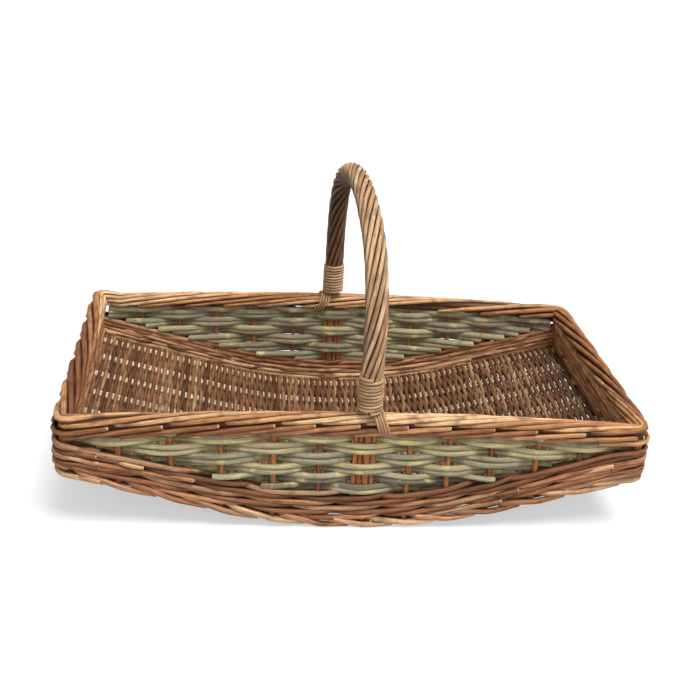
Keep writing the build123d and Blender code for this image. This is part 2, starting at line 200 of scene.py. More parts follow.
# Points through stations (s, out, z), with the wall's direction level at each one between
def smoothPath(stations, perSpan, flat=True):
    slopes = []
    last = len(stations) - 1
    for i in range(last + 1):
        before, after = stations[max(i - 1, 0)], stations[min(i + 1, last)]
        run = after[0] - before[0]
        lift = (after[2] - before[2]) / run
        swing = (after[1] - before[1]) / run if i in (0, last) or not flat else 0
        slopes.append((swing, lift))
    path = []
    for i in range(last):
        start, end = stations[i], stations[i + 1]
        run = end[0] - start[0]
        for step in range(perSpan + (i == last - 1)):
            t = step / perSpan
            a, b = 2 * t**3 - 3 * t**2 + 1, t**3 - 2 * t**2 + t
            c, d = -2 * t**3 + 3 * t**2, t**3 - t**2
            place = [start[0] + t * run]
            for axis in (1, 2):
                pull = run * (b * slopes[i][axis - 1] + d * slopes[i + 1][axis - 1])
                place.append(a * start[axis] + c * end[axis] + pull)
            path.append(tuple(place))
    return path


# Values along a rod with the first and the last twice, for its short ends
def withEnds(values):
    return values[:1] * 2 + values[1:-1] + values[-1:] * 2


# One rod from its points, in millimetres, with a short end at each cut
def rodFrom(points, thickest, thinnest, tone, wander, seed, cutBack=rodInfo["cutBack"], **more):
    hubs = withEnds(more.get("hubs", points))
    stains = withEnds(more.get("stains", [0.0] * len(points)))
    pale = more.get("pale", (1.0, 1.0))
    along = [0.0]
    for a, b in zip(points, points[1:]):
        along.append(along[-1] + (b - a).length)
    total = along[-1]
    firstRun, finalRun = (max(run, rodInfo["leastRun"]) for run in (along[1], total - along[-2]))
    first = points[0].lerp(points[1], min(cutBack / firstRun, 0.5))
    final = points[-1].lerp(points[-2], min(cutBack / finalRun, 0.5))
    points = [points[0], first] + points[1:-1] + [final, points[-1]]
    along = [0.0, cutBack] + along[1:-1] + [total - cutBack, total]
    radii = [(thickest + (thinnest - thickest) * run / total) / 2 for run in along]
    if cutBack > rodInfo["bevelFrom"]:
        radii[0] *= rodInfo["bevel"]
        radii[-1] *= rodInfo["bevel"]
    return {
        "points": [point + wobble(seed, run, wander) for point, run in zip(points, along)],
        "radii": radii, "along": along, "tone": tone,
        "cut": [pale[0]] + [0.0] * (len(points) - 2) + [pale[1]], "hubs": hubs, "stains": stains,
    }


# A tapered rod with its part's sizes
def partRod(path, part, tone, seed, **more):
    return rodFrom(path, part["thick"], part["thin"], tone, part["wander"], seed, part["cutBack"], **more)


# The same, woven in a wall
def wallRod(path, part, chance):
    seed = chance.random() * rodInfo["seedRange"]
    return partRod(path, part, chance.random(), seed, hubs=inWall(path))


# A rod of one thickness
def evenRod(path, thickness, wander, chance, **more):
    tone, seed = chance.random(), chance.random() * rodInfo["seedRange"]
    return rodFrom(path, thickness, thickness, tone, wander, seed, **more)


# A mesh of plain lines that carries what each rod is, for the rod tree to sweep
def rodLines(name, rods):
    points, edges, hubs = [], [], []
    values = {"thickness": [], "tone": [], "along": [], "cutEnd": [], "stain": []}
    for rod in rods:
        base = len(points)
        points += [point * mm for point in rod["points"]]
        edges += [(base + i, base + i + 1) for i in range(len(rod["points"]) - 1)]
        values["thickness"] += [radius * mm for radius in rod["radii"]]
        values["along"] += [run * mm for run in rod["along"]]
        values["tone"] += [rod["tone"]] * len(rod["points"])
        values["cutEnd"] += rod["cut"]
        values["stain"] += rod["stains"]
        hubs += [c * mm for hub in rod["hubs"] for c in hub]
    mesh = bpy.data.meshes.new(name)
    mesh.from_pydata(points, edges, [])
    for key, numbers in values.items():
        mesh.attributes.new(key, "FLOAT", "POINT").data.foreach_set("value", numbers)
    mesh.attributes.new("hub", "FLOAT_VECTOR", "POINT").data.foreach_set("vector", hubs)
    return addObject(name, mesh)


# A node whose inputs are values or other nodes' sockets
def addNode(tree, kind, inputs={}, **settings):
    node = tree.nodes.new(kind)
    for key, value in settings.items():
        setattr(node, key, value)
    for key, value in inputs.items():
        if isinstance(value, bpy.types.NodeSocket):
            tree.links.new(value, node.inputs[key])
        else:
            node.inputs[key].default_value = value
    return node


def mathNode(tree, operation, *values):
    return addNode(tree, "ShaderNodeMath", dict(enumerate(values)), operation=operation).outputs[0]


def namedValue(tree, name, kind="FLOAT"):
    node = addNode(tree, "GeometryNodeInputNamedAttribute", {"Name": name}, data_type=kind)
    return node.outputs["Attribute"]


def storeValue(tree, geometry, name, value, kind="FLOAT"):
    inputs = {"Name": name, "Geometry": geometry, "Value": value}
    node = addNode(tree, "GeometryNodeStoreNamedAttribute", inputs, data_type=kind, domain="POINT")
    return node.outputs["Geometry"]


# Distance of each point from the middle that its rod lies round
def fromHub(tree):
    place = addNode(tree, "GeometryNodeInputPosition").outputs[0]
    inputs = {0: place, 1: namedValue(tree, "hub", "FLOAT_VECTOR")}
    return addNode(tree, "ShaderNodeVectorMath", inputs, operation="DISTANCE").outputs["Value"]


# Sweeps lines into round rods with leaf scars and a slightly uneven skin
def buildRodTree():
    skin = {"toneShift": 37.0, "knotPower": 50.0, "bumpScale": 60.0, "bumpSpread": 91.0, "barkSpread": 5.0}
    tree = bpy.data.node_groups.new("willowRod", "GeometryNodeTree")
    kinds = {
        "Geometry": "Geometry", "Sides": "Int", "Knot Spacing": "Float", "Knot Swell": "Float",
        "Unevenness": "Float", "Material": "Material",
    }
    for label, kind in kinds.items():
        tree.interface.new_socket(label, in_out="INPUT", socket_type="NodeSocket" + kind)
    tree.interface.new_socket("Geometry", in_out="OUTPUT", socket_type="NodeSocketGeometry")
    source = addNode(tree, "NodeGroupInput").outputs
    along, tone, thickness = (namedValue(tree, name) for name in ("along", "tone", "thickness"))

    # A leaf scar swells the rod every so often, at a place that differs from rod to rod
    spaced = mathNode(tree, "DIVIDE", along, source["Knot Spacing"])
    shifted = mathNode(tree, "FRACT", mathNode(tree, "MULTIPLY_ADD", tone, skin["toneShift"], spaced))
    nearness = mathNode(tree, "ABSOLUTE", mathNode(tree, "SUBTRACT", shifted, 0.5))
    knot = mathNode(tree, "POWER", mathNode(tree, "MULTIPLY", nearness, 2.0), skin["knotPower"])
    spotX = mathNode(tree, "MULTIPLY", along, skin["bumpScale"])
    spotY = mathNode(tree, "MULTIPLY", tone, skin["bumpSpread"])
    spot = addNode(tree, "ShaderNodeCombineXYZ", {"X": spotX, "Y": spotY}).outputs[0]
    bumps = addNode(tree, "ShaderNodeTexNoise", {"Scale": 1.0, "Vector": spot}, noise_dimensions="3D")
    centred = mathNode(tree, "SUBTRACT", bumps.outputs["Fac"], 0.5)
    uneven = mathNode(tree, "MULTIPLY", centred, source["Unevenness"])
    swell = mathNode(tree, "MULTIPLY_ADD", knot, source["Knot Swell"], mathNode(tree, "ADD", uneven, 1.0))
    width = mathNode(tree, "MULTIPLY", thickness, swell)
    curve = addNode(tree, "GeometryNodeMeshToCurve", {"Mesh": source["Geometry"]}).outputs[0]
    curve = storeValue(tree, curve, "knot", knot)
    curve = storeValue(tree, curve, "reach", fromHub(tree))

    inputs = {"Radius": 1.0, "Resolution": source["Sides"]}
    ring = addNode(tree, "GeometryNodeCurvePrimitiveCircle", inputs, mode="RADIUS").outputs["Curve"]
    ringPlace = addNode(tree, "GeometryNodeInputPosition").outputs[0]
    profile = storeValue(tree, ring, "ring", ringPlace, "FLOAT_VECTOR")
    inputs = {"Curve": curve, "Profile Curve": profile, "Scale": width, "Fill Caps": True}
    sweep = addNode(tree, "GeometryNodeCurveToMesh", inputs)

    # Where a point lies on its own rod, so that the bark follows the rod round every bend
    parts = addNode(tree, "ShaderNodeSeparateXYZ", {0: namedValue(tree, "ring", "FLOAT_VECTOR")}).outputs
    spot = {axis: mathNode(tree, "MULTIPLY", parts[axis], thickness) for axis in ("X", "Y")}
    spot["Z"] = mathNode(tree, "MULTIPLY_ADD", tone, skin["barkSpread"], along)
    barkPlace = addNode(tree, "ShaderNodeCombineXYZ", spot).outputs[0]
    mesh = storeValue(tree, sweep.outputs["Mesh"], "barkPlace", barkPlace, "FLOAT_VECTOR")

    # 1 on the side that faces out of the weave, less towards the grooves between the rods; the materials
    # darken the colour by it as painted shade in the grooves
    rise = mathNode(tree, "SUBTRACT", fromHub(tree), namedValue(tree, "reach"))
    mesh = storeValue(tree, mesh, "facing", mathNode(tree, "DIVIDE", rise, thickness))

    smooth = addNode(tree, "GeometryNodeSetShadeSmooth", {0: mesh}).outputs[0]
    real = addNode(tree, "GeometryNodeRealizeInstances", {0: smooth}).outputs[0]
    inputs = {"Geometry": real, "Material": source["Material"]}
    addNode(tree, "NodeGroupOutput", {0: addNode(tree, "GeometryNodeSetMaterial", inputs).outputs[0]})
    return tree


rodTree = buildRodTree()


# Sweeps rods through the rod tree and hands the piece over to the frame
def makeRods(name, rods, finishName, replaced, slotName, **look):
    look = {"sides": 10, "knotSpacing": 60, "knotSwell": 0.08, "uneven": 0.06, **look}
    lines = rodLines(name + "Lines", rods)
    modifier = lines.modifiers.new("rods", "NODES")
    modifier.node_group = rodTree
    settings = {
        "Sides": look["sides"], "Knot Spacing": look["knotSpacing"] * mm, "Knot Swell": look["knotSwell"],
        "Unevenness": look["uneven"], "Material": materials[finishName],
    }
    for item in rodTree.interface.items_tree:
        if item.in_out == "INPUT" and item.name in settings:
            modifier[item.identifier] = settings[item.name]
    bpy.context.view_layer.update()
    graph = bpy.context.evaluated_depsgraph_get()
    mesh = bpy.data.meshes.new_from_object(lines.evaluated_get(graph))
    mesh.name = name
    bpy.data.objects.remove(lines)
    piece = addObject(name, mesh)
    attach(piece, "root")
    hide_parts(*replaced)
    print(name, len(rods), "rods", len(mesh.polygons), "faces")


# Streaks, blotches, pores and bump height, all in the rod's own coordinates
def buildBarkGroup():
    bark = {
        "streakScale": 900.0, "streakStretch": (1.0, 1.0, 0.05), "streakDetail": 3.0,
        "blotchScale": 45.0, "blotchDetail": 4.0,
        "poreScale": 420.0, "poreStretch": (1.0, 1.0, 0.45), "poreSize": 0.16, "poreLift": -0.5,
    }
    group = bpy.data.node_groups.new("barkFigure", "ShaderNodeTree")
    group.interface.new_socket("Place", in_out="INPUT", socket_type="NodeSocketVector")
    for label in ("Streak", "Blotch", "Pore", "Height"):
        group.interface.new_socket(label, in_out="OUTPUT", socket_type="NodeSocketFloat")
    place = addNode(group, "NodeGroupInput").outputs["Place"]

    def stretched(amounts):
        return addNode(group, "ShaderNodeVectorMath", {0: place, 1: amounts}, operation="MULTIPLY").outputs[0]

    def noiseOf(spot, scale, detail):
        inputs = {"Vector": spot, "Scale": scale, "Detail": detail}
        return addNode(group, "ShaderNodeTexNoise", inputs).outputs["Fac"]

    streak = noiseOf(stretched(bark["streakStretch"]), bark["streakScale"], bark["streakDetail"])
    blotch = noiseOf(place, bark["blotchScale"], bark["blotchDetail"])
    inputs = {"Vector": stretched(bark["poreStretch"]), "Scale": bark["poreScale"]}
    pores = addNode(group, "ShaderNodeTexVoronoi", inputs).outputs["Distance"]
    pore = mathNode(group, "LESS_THAN", pores, bark["poreSize"])
    height = mathNode(group, "MULTIPLY_ADD", pore, bark["poreLift"], streak)
    addNode(group, "NodeGroupOutput", {"Streak": streak, "Blotch": blotch, "Pore": pore, "Height": height})
    return group


barkGroup = buildBarkGroup()


# A colour as seen on a screen, from 0 to 255, as the renderer's own numbers
def toLinear(colour):
    parts = [c / 255 for c in colour]
    return [*(p / 12.92 if p < 0.04045 else ((p + 0.055) / 1.055) ** 2.4 for p in parts), 1.0]


def mixColour(tree, amount, first, second, blend="MIX"):
    inputs = {0: amount, 6: first, 7: second}  # 6 and 7 are its colours
    return addNode(tree, "ShaderNodeMix", inputs, data_type="RGBA", blend_type=blend).outputs[2]


def mapped(tree, value, fromRange, toRange):
    inputs = dict(zip(("Value", "From Min", "From Max", "To Min", "To Max"), (value, *fromRange, *toRange)))
    return addNode(tree, "ShaderNodeMapRange", inputs).outputs[0]


# Darkens or lightens a colour by a value
def shaded(tree, colour, value):
    grey = addNode(tree, "ShaderNodeCombineColor", {0: value, 1: value, 2: value})
    return mixColour(tree, 1.0, colour, grey.outputs[0], "MULTIPLY")


# Bark: each rod its own tone, long streaks, blotches, pores, leaf scars and pale cut ends, with painted shade
# in the grooves between rods and on the handle's inner side
def willowMaterial(name, finish):
    material = bpy.data.materials.new(name)
    material.use_nodes = True
    tree = material.node_tree
    tree.nodes.clear()

    def onRod(attribute, socket="Fac"):
        return addNode(tree, "ShaderNodeAttribute", attribute_name=attribute).outputs[socket]

    place = {"Place": onRod("barkPlace", "Vector")}
    figure = addNode(tree, "ShaderNodeGroup", place, node_tree=barkGroup).outputs

    ramp = addNode(tree, "ShaderNodeValToRGB", {0: onRod("tone")})
    stops = ramp.color_ramp.elements
    colours = finish["tones"]
    while len(stops) < len(colours):
        stops.new(0.5)
    for i, colour in enumerate(colours):
        stops[i].position = i / (len(colours) - 1)
        stops[i].color = toLinear(colour)
    colour = ramp.outputs[0]

    patchRange = (finish["patchFrom"], finish["patchFrom"] + finish["patchSoftness"])
    patch = mapped(tree, figure["Blotch"], patchRange, (0.0, finish["patchAmount"]))
    colour = mixColour(tree, patch, colour, toLinear(finish["patchColour"]))
    streak = mapped(tree, figure["Streak"], finish["streakFrom"], finish["streakTo"])
    colour = shaded(tree, colour, streak)
    for mask, amount, spotColour in (
        (figure["Pore"], finish["poreAmount"], finish["poreColour"]),
        (onRod("knot"), finish["knotAmount"], finish["knotColour"]),
    ):
        colour = mixColour(tree, mathNode(tree, "MULTIPLY", mask, amount), colour, toLinear(spotColour))
    # Painted shade: darkens the inner side of the handle's strands and the whole bow
    colour = mixColour(tree, onRod("stain"), colour, toLinear(finish["paintedShadeColour"]))
    # Painted shade: the colour darkens towards the grooves between rods and where a rod passes behind another
    paintedGrooveShade = mapped(tree, onRod("facing"), finish["grooveShadeFrom"], (finish["grooveShade"], 1.0))
    colour = shaded(tree, colour, paintedGrooveShade)
    colour = mixColour(tree, onRod("cutEnd"), colour, toLinear(finish["cutColour"]))

    inputs = {"Strength": finish["bump"], "Distance": finish["bumpDistance"], "Height": figure["Height"]}
    bump = addNode(tree, "ShaderNodeBump", inputs)
    roughRange = [finish["roughness"] + spread for spread in finish["roughSpread"]]
    shader = addNode(tree, "ShaderNodeBsdfPrincipled", {
        "Base Color": colour, "Roughness": mapped(tree, figure["Blotch"], (0.0, 1.0), roughRange),
        "Normal": bump.outputs[0], "Specular IOR Level": finish["specular"],
    })
    addNode(tree, "ShaderNodeOutputMaterial", {"Surface": shader.outputs[0]})
    return material


plainBark = {
    "patchFrom": 0.5, "patchSoftness": 0.14, "patchAmount": 0.6, "patchColour": (116, 70, 44),
    # Painted shade: the groove values set how dark the grooves between rods are painted
    "streakFrom": (0.35, 0.65), "streakTo": (0.54, 1.26), "grooveShadeFrom": (-0.1, 0.7), "grooveShade": 0.24,
    "poreAmount": 0.45, "poreColour": (62, 38, 26), "knotAmount": 0.45, "knotColour": (56, 34, 24),
    # The colour for the handle's inner side and bow is painted shade
    "paintedShadeColour": (70, 40, 25), "cutColour": (212, 184, 144),
    "roughness": 0.58, "roughSpread": (-0.08, 0.1), "specular": 0.3, "bump": 0.6, "bumpDistance": 0.0004,
}
finishes = {
    "border": {"tones": [(98, 60, 34), (152, 98, 58), (190, 132, 86), (212, 162, 114), (224, 184, 138)]},
    "wale": {"tones": [(108, 66, 42), (164, 106, 70), (194, 138, 96), (226, 182, 136), (132, 82, 54)]},
    "foot": {"tones": [(128, 80, 52), (176, 118, 80), (200, 150, 106), (218, 176, 132), (146, 92, 62)]},
    "stake": {"tones": [(180, 112, 66), (196, 130, 80), (142, 84, 52), (186, 118, 72)]},
    "handle": {
        "tones": [(148, 102, 68), (210, 172, 130), (180, 134, 94), (232, 202, 164)], "patchAmount": 0.45,
        "grooveShade": 0.1,
    },
    "cane": {
        "tones": [(182, 144, 104), (202, 168, 128)], "patchAmount": 0.3, "patchColour": (140, 100, 64),
        "poreAmount": 0.1, "knotAmount": 0.2,
    },
    "green": {
        "tones": [(122, 114, 90), (174, 164, 134), (150, 143, 120), (204, 186, 138), (116, 110, 92)],
        "patchColour": (212, 198, 134), "patchFrom": 0.54, "patchSoftness": 0.1, "patchAmount": 0.85,
        "poreColour": (52, 48, 38), "poreAmount": 0.6, "knotColour": (58, 48, 36),
        "cutColour": (224, 210, 170), "streakTo": (0.66, 1.16), "roughness": 0.66, "grooveShade": 0.62,
    },
    "baseWeave": {
        "tones": [(88, 54, 34), (122, 80, 52), (150, 108, 74), (104, 66, 44), (170, 132, 94)],
        "patchColour": (78, 50, 34),
    },
    "baseStick": {
        "tones": [(216, 188, 148), (226, 202, 166), (200, 168, 126)], "patchColour": (176, 138, 98),
        "poreAmount": 0.1,
    },
}
materials = {}
for key, finish in finishes.items():
    materials[key] = willowMaterial(key + "Willow", {**plainBark, **finish})
print("materials ready")


# Uprights: stakes, corner posts and the extra ones beside the handle
def addUprights():
    upright = {
        "stake": 5.8, "lift": 1.5, "intoBorder": 3, "lean": 0.6, "taper": 0.95, "pointStep": 6,
        "fewestSteps": 4, "seedRange": 50, "besideHandle": (-11.5, -6.5, 6.5), "besideThick": 5.0,
        "peg": 7.6, "post": 10, "postIntoBorder": 2, "postLean": 0.2, "postSides": 14, "seed": 11,
    }
    chance = random.Random(upright["seed"])

    def uprightAt(s, low, high, thickness, lean):
        steps = max(int((high - low) / upright["pointStep"]), upright["fewestSteps"])
        points = [wallPoint(s, 0, low + (high - low) * i / steps) for i in range(steps + 1)]
        tone, seed = chance.random(), chance.random() * upright["seedRange"]
        return rodFrom(points, thickness, thickness * upright["taper"], tone, lean, seed)

    def stakeAt(s, thickness):
        low = groundLine(s) + upright["lift"]
        high = rimLine(s) - basket["rimRadius"] + upright["intoBorder"]
        return uprightAt(s, low, high, thickness, upright["lean"])

    def makeStakes(name, rods, replaced, **look):
        makeRods(name, rods, "stake", [replaced], "stake_willow", **look)

    for side in ("front", "rear"):
        for number, share in enumerate(stakeShares[side], 1):
            rod = stakeAt(sidePlace(side, share), upright["stake"])
            makeStakes(f"{side}Stake{number}", [rod], f"{side}_stake_{number}")
        leg = handlePlace[side]
        rods = [stakeAt(leg + offset, upright["besideThick"]) for offset in upright["besideHandle"]]
        rods.append(stakeAt(leg, upright["peg"]))
        makeStakes(f"{side}HandleStakes", rods, f"{side}_handle_stakes")
    for side in ("left", "right"):
        rods = [stakeAt(sidePlace(side, share), upright["stake"]) for share in stakeShares["end"]]
        makeStakes(f"{side}EndStakes", rods, f"{side}_end_stakes")
    low = belly(basket["wallX"]) + upright["lift"]
    high = rimEnd - basket["rimRadius"] + upright["postIntoBorder"]
    for (side, hand), s in cornerPlace.items():
        rod = uprightAt(s, low, high, upright["post"], upright["postLean"])
        makeStakes(f"{side}{hand.title()}Post", [rod], f"{side}_{hand}_post", sides=upright["postSides"])


addUprights()

# What the rods weave round: the stakes, the group beside each handle leg and the corner posts
weave = {"stakeHalf": 2.9, "groupHalf": 3.8, "groupShift": -2.5, "cornerHalf": 5.0}
groupPlace = {side: place + weave["groupShift"] for side, place in handlePlace.items()}


# The uprights of one wall in order, each with its half thickness
def uprightsOn(side):
    shares = stakeShares[side if side in groupPlace else "end"]
    places = [(sidePlace(side, share), weave["stakeHalf"]) for share in shares]
    if side in groupPlace:
        places.append((groupPlace[side], weave["groupHalf"]))
    return sorted(places)


# All uprights in order, each with its half thickness and whether it is a corner
uprights = [(s, half, False) for side in sideStart for s, half in uprightsOn(side)]
uprights += [(s, weave["cornerHalf"], True) for s in cornerPlace.values()]
uprights.sort()


# Place of an upright by its number, which counts on from one round to the next
def uprightPlace(number):
    return uprights[number % len(uprights)][0] + around * (number // len(uprights))


# The nodes of a piece that runs round all four walls
def roundNodes(kind):
    return [f"{wall}_{kind}" for wall in ("front", "rear", "left_end", "right_end")]


# Path that keeps one distance out and one height over the ground line
def levelPath(begin, run, steps, out, height):
    return [wallPoint(s, out, groundLine(s) + height) for s, _ in evenSteps(begin, run, steps)]


# Wale: brown rods in front of two uprights and behind the next, rising to the right as they go
def addWale():
    wale = {
        "rows": 8, "bottom": 11.6, "pitch": 3.5,
        "rod": {"thick": 5.9, "thin": 5.2, "wander": 0.8, "cutBack": 1.4},
        "flatness": 0.85, "rise": 2.5, "period": 3, "fallBack": 0.5, "strokes": 12,
        "strokesSpread": 2, "perSpan": 12, "cornerOut": 7.8, "seed": 5,
    }
    # Cut ends on the front: where each one lies, and how a tip bends out (back, out, drop)
    cut = {
        "ends": (
            (-255, 33), (-210, 33), (-161, 32), (-252, 6.3), (150, 15), (166, 24), (261, 28.5), (-20, 13),
        ),
        "shape": ((30, 3.0, 4.0), (16, 7.2, 1.8), (0, 9.6, 0)), "perSpan": 8,
        "rod": {"thick": 5.2, "thin": 4.8, "wander": 0.2, "cutBack": 1.2},
    }
    inner = {
        "rows": 5, "bottom": 13.4, "pitch": 5.5, "out": -4.0, "parts": 4, "partRun": 0.262,
        "steps": 120, "rise": 2.2, "wave": 0.7, "waveRun": 26, "waveShift": 2.1,
        "rod": {"thick": 5.8, "thin": 5.2, "wander": 0.5, "cutBack": 1.4},
        "endHeights": (38.5, 42.5), "endSteps": 60,
        "endRod": {"thick": 5.8, "thin": 5.4, "wander": 0.5, "cutBack": 1.4},
    }
    chance = random.Random(wale["seed"])
    rods = []
    count = len(uprights)
    period, fallBack, perSpan = wale["period"], wale["fallBack"], wale["perSpan"]

    # How far a rod has risen within its stroke; it falls back where it passes inside
    def riseAt(share):
        stroke = share % period
        if fallBack <= stroke <= period - fallBack:
            return wale["rise"] * (stroke - period / 2)
        return wale["rise"] * (1 - 2 * ((stroke + fallBack) % period))

    for row in range(wale["rows"]):
        start = chance.randrange(count)
        done = 0
        while done < count:
            spread = wale["strokesSpread"]
            run = min(wale["strokes"] + chance.randrange(-spread, spread + 1), count - done)
            numbers = range(start + done, start + done + run + 2)
            stations = []
            for i in numbers:
                s = uprightPlace(i)
                _, half, isCorner = uprights[i % count]
                reach = (half + wale["rod"]["thick"] / 2) * wale["flatness"]
                out = -reach if (i + row) % period == 0 else reach
                z = groundLine(s) + wale["bottom"] + row * wale["pitch"]
                stations.append((s, wale["cornerOut"] if isCorner else out, z))
            path = []
            for k, (s, out, z) in enumerate(smoothPath(stations, perSpan)):
                path.append(wallPoint(s, out, z + riseAt(numbers[0] + k / perSpan + row)))
            # The cut ends lie beside the next rod's start
            path = path[perSpan // 2 : -perSpan // 3]
            rods.append(wallRod(path, wale["rod"], chance))
            done += run
    for x, height in cut["ends"]:
        tip = sideStart["front"] + sideHalf["front"] + x
        stations = []
        for back, out, drop in cut["shape"]:
            stations.append((tip - back, out, groundLine(tip - back) + height - drop))
        path = [wallPoint(*spot) for spot in smoothPath(stations, cut["perSpan"], False)]
        rods.append(wallRod(path, cut["rod"], chance))
    # Inside, the turned-in stretches and rod ends of all rows lie close together
    for number in range(inner["rows"]):
        first = chance.random() * around
        height = inner["bottom"] + number * inner["pitch"]
        for part in range(inner["parts"]):
            begin = first + around * part / inner["parts"]
            path = []
            for s, share in evenSteps(begin, around * inner["partRun"], inner["steps"]):
                swing = math.sin(s / inner["waveRun"] + number * inner["waveShift"]) * min(number, 1)
                z = groundLine(s) + height + inner["rise"] * (share - 0.5)
                path.append(wallPoint(s, inner["out"] - inner["wave"] * swing, z))
            rods.append(wallRod(path, inner["rod"], chance))
    # On the ends they go on up to the border
    for side in ("left", "right"):
        for height in inner["endHeights"]:
            begin, run = sideStart[side], sideHalf[side] * 2
            path = levelPath(begin, run, inner["endSteps"], inner["out"], height)
            rods.append(wallRod(path, inner["endRod"], chance))
    makeRods("wale", rods, "wale", roundNodes("wale"), "brown_willow", knotSpacing=83)


addWale()


# Green weave: pairs of rods in a lens on each long wall
def addGreenWeave():
    green = {
        "pitch": 5.65,
        "front": {"thick": 6.3, "thin": 5.8, "flatness": 0.66, "wander": 1.2, "cutBack": 1.6},
        "rear": {"thick": 8.1, "thin": 7.7, "flatness": 0.5, "wander": 1.2, "cutBack": 1.6},
        "drop": 10.95, "firstDrop": 9.8, "waleTop": 34.5, "leastReach": 30, "jitter": 0.4,
        "perSpan": 12, "endGap": 8, "endOut": -5.0, "endSpread": (-4, 3), "endBefore": 3,
        "shortEnd": 24, "shortEndOut": 0.7, "seed": 23,
    }
    look = {"knotSpacing": 47, "knotSwell": 0.12, "uneven": 0.1}
    chance = random.Random(green["seed"])
    for side in ("front", "rear"):
        middle = sideStart[side] + sideHalf[side]
        places = uprightsOn(side)
        groupIndex = [s for s, _ in places].index(groupPlace[side])
        rods = []
        part = green[side]
        number = -1
        while True:
            drop = green["drop"] + (number + 0.5) * green["pitch"]
            if number < 0:
                drop = green["firstDrop"]
            reach = 0
            while reach < straightX / 2:
                s = middle + reach
                if rimLine(s) - drop - part["thick"] / 2 < groundLine(s) + green["waleTop"]:
                    break
                reach += 1
            if reach < green["leastReach"]:
                break
            swings = []
            for i, (s, half) in enumerate(places):
                swing = (half + part["thick"] / 2) * part["flatness"]
                swings.append((s - middle, swing if (number // 2 + i - groupIndex) % 2 else -swing))
            kept = [swing for swing in swings if abs(swing[0]) < reach - green["endGap"]]
            # A rod ends inside the wall, or bends less where its last stretch is short
            ends = []
            for towards, nearest in ((-1, kept[0]), (1, kept[-1])):
                beyond = [s * towards for s, _ in swings if s * towards > nearest[0] * towards]
                limit = min(beyond, default=straightX / 2) - green["endBefore"]
                stop = min(reach + chance.uniform(*green["endSpread"]), limit)
                isShort = stop - nearest[0] * towards < green["shortEnd"]
                out = nearest[1] * green["shortEndOut"] if isShort else green["endOut"]
                ends.append((stop * towards, out))
            spots = [ends[0]] + kept + [ends[1]]
            jitter = chance.uniform(-green["jitter"], green["jitter"])
            stations = [(middle + s, out, rimLine(middle + s) - drop + jitter) for s, out in spots]
            path = [wallPoint(*spot) for spot in smoothPath(stations, green["perSpan"])]
            if chance.random() < 0.5:
                path.reverse()
            rods.append(wallRod(path, part, chance))
            number += 1
        makeRods(f"{side}GreenWeave", rods, "green", [f"{side}_green_weave"], "green_willow", **look)


addGreenWeave()


# Border: rods laid in below that end at its middle line, and others rolled over the top from there
def addBorder():
    border = {
        "roll": 8.2,
        "over": {"run": 285, "thick": 5.1, "thin": 4.4, "wander": 0.6, "cutBack": 2.0},
        "endOver": {"run": 214, "thick": 6.6, "thin": 5.6, "wander": 0.6, "cutBack": 2.0},
        "overAngles": (84, -124), "overStart": 2, "tuck": 6, "tuckShare": 0.125,
        "under": {"run": 96, "thick": 5.6, "thin": 5.0, "wander": 0.6, "cutBack": 1.8},
        "underDrops": (11.5, 0.6), "underOuts": (4.6, 8.2), "outBy": 0.4, "underTip": -4,
        "core": {"thick": 8.4, "roll": 2.4, "tone": 0.02, "wander": 0.5, "seed": 7, "steps": 360},
        "tones": {"under": (0.12, 0.5), "over": (0.35, 0.65), "end": (0.0, 0.4)},
        "spread": 4, "lookAhead": (60, 150), "seed": 31,
    }
    chance = random.Random(border["seed"])
    rods = []

    def between(pair, share):
        return pair[0] + (pair[1] - pair[0]) * share

    def toneOf(kind):
        least, spread = border["tones"][kind]
        return least + chance.random() * spread

    def lay(path, hubs, part, tone, pale):
        seed = chance.random() * rodInfo["seedRange"]
        rods.append(partRod(path, part, tone, seed, pale=pale, hubs=hubs))

    def laidOver(begin, part, tone):
        path, hubs = [], []
        for s, share in evenSteps(begin, part["run"], int(part["run"] / rodInfo["pointStep"])):
            angle = math.radians(between(border["overAngles"], share))
            roll = border["roll"] - border["tuck"] * max(1 - share / border["tuckShare"], 0)
            path.append(wallPoint(s, roll * math.sin(angle), rimLine(s) + roll * math.cos(angle)))
            hubs.append(wallPoint(s, 0, rimLine(s)))
        lay(path, hubs, part, tone, (0, 0))

    def laidUnder(tip, tone, pale):
        part = border["under"]
        path, hubs = [], []
        for s, share in evenSteps(tip - part["run"], part["run"], int(part["run"] / rodInfo["pointStep"])):
            z = rimLine(s) - between(border["underDrops"], share)
            out = between(border["underOuts"], min(share / border["outBy"], 1))
            path.append(wallPoint(s, out, z))
            hubs.append(wallPoint(s, 0, z))
        lay(path, hubs, part, tone, pale)

    # The rods' hidden stretches lie together as a core
    core = border["core"]
    for turn in (0, math.pi):
        out, lift = core["roll"] * math.sin(turn), core["roll"] * math.cos(turn)
        path = [wallPoint(s, out, rimLine(s) + lift) for s, _ in evenSteps(0, around, core["steps"])]
        seed, thick = core["seed"] + turn, core["thick"]
        rods.append(rodFrom(path, thick, thick, core["tone"], core["wander"], seed, pale=(0, 0)))

    nearAhead, farAhead = border["lookAhead"]
    for place, _, isCorner in uprights:
        s = place + chance.uniform(-border["spread"], border["spread"])
        laidUnder(s + border["underTip"], toneOf("under"), (0, 0 if isCorner else 1))
        onEnd = onEndWall(s + nearAhead)
        tone = toneOf("end" if onEnd and onEndWall(s + farAhead) else "over")
        laidOver(s + border["overStart"], border["endOver" if onEnd else "over"], tone)
    makeRods("border", rods, "border", roundNodes("rim"), "border_willow", knotSpacing=71)


addBorder()


